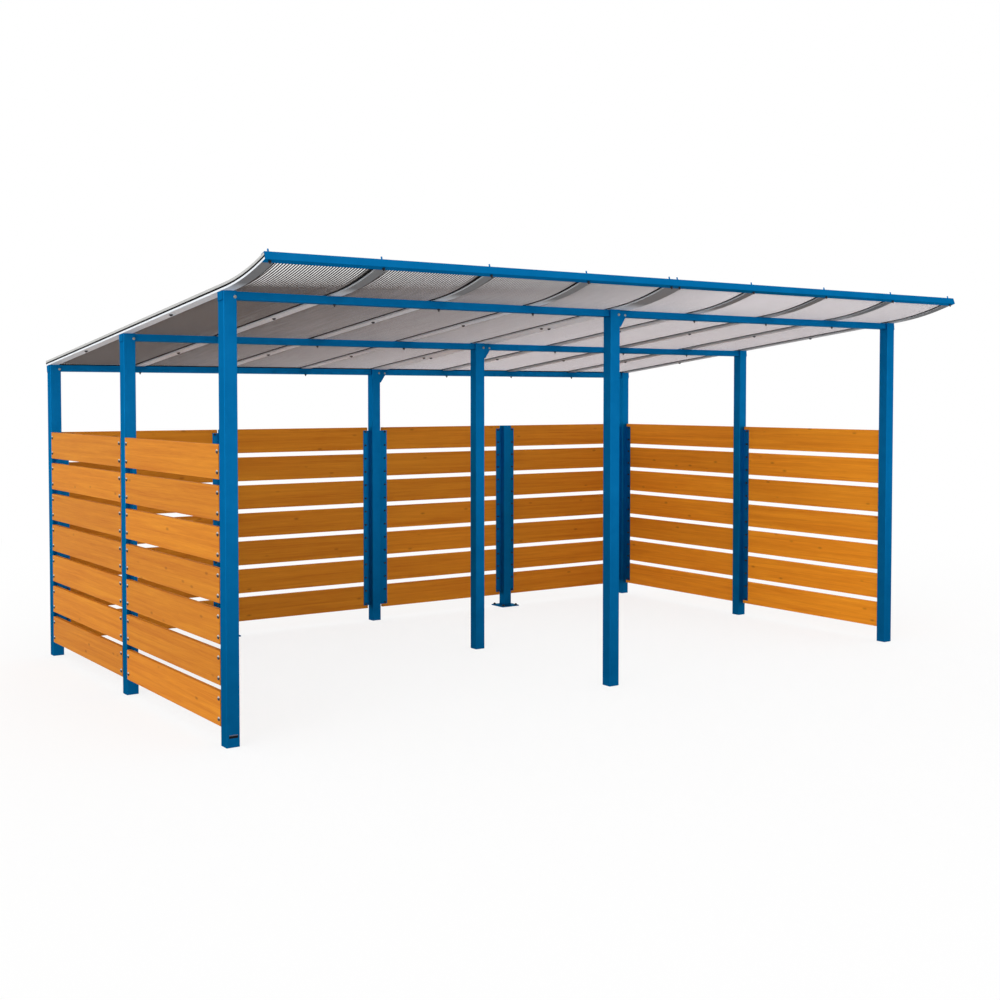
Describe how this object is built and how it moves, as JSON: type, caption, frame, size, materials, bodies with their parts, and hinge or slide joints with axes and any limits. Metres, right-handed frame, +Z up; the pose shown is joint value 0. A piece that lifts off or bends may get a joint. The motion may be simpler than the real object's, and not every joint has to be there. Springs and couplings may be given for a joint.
{
  "type": "bike shelter",
  "caption": "Open-fronted bike shelter: blue steel posts and beams, slatted wooden side and back walls, translucent sheet roof sweeping up at the front.",
  "frame": {"origin": "centre of the overall box at ground level", "axes": "+X along the width, +Y from the open front to the back wall, +Z up"},
  "size_m": [5.014, 3.4376, 2.3942],
  "materials": {
    "blue_steel": "powder coated, satin",
    "plank_wood": "oiled planks",
    "aluminium": "mill finish",
    "polycarbonate": "translucent multiwall sheet",
    "seal_rubber": "matt"
  },
  "bodies": {
    "root": {"back_beam_left": "blue_steel", "back_beam_right": "blue_steel", "back_centre_post": "blue_steel", "back_left_post": "blue_steel", "back_right_post": "blue_steel", "back_wall_angles_left": "blue_steel", "back_wall_angles_right": "blue_steel", "back_wall_left_inner": "plank_wood", "back_wall_left_outer": "plank_wood", "back_wall_post_left": "blue_steel", "back_wall_post_right": "blue_steel", "back_wall_right_inner": "plank_wood", "back_wall_right_outer": "plank_wood", "cover_strips_left": "aluminium", "cover_strips_right": "aluminium", "front_beam_left": "blue_steel", "front_beam_right": "blue_steel", "front_centre_post": "blue_steel", "front_edge_channel": "blue_steel", "front_left_post": "blue_steel", "front_right_post": "blue_steel", "left_wall_angles": "blue_steel", "left_wall_back": "plank_wood", "left_wall_front": "plank_wood", "middle_beam_left": "blue_steel", "middle_beam_right": "blue_steel", "middle_centre_post": "blue_steel", "middle_left_post": "blue_steel", "middle_right_post": "blue_steel", "rafters_left": "aluminium", "rafters_right": "aluminium", "right_wall_angles": "blue_steel", "right_wall_back": "plank_wood", "right_wall_front": "plank_wood", "roof_seals_left": "seal_rubber", "roof_seals_right": "seal_rubber", "roof_sheet_left_1": "polycarbonate", "roof_sheet_left_2": "polycarbonate", "roof_sheet_left_3": "polycarbonate", "roof_sheet_left_4": "polycarbonate", "roof_sheet_right_1": "polycarbonate", "roof_sheet_right_2": "polycarbonate", "roof_sheet_right_3": "polycarbonate", "roof_sheet_right_4": "polycarbonate"}
  },
  "joints": []
}
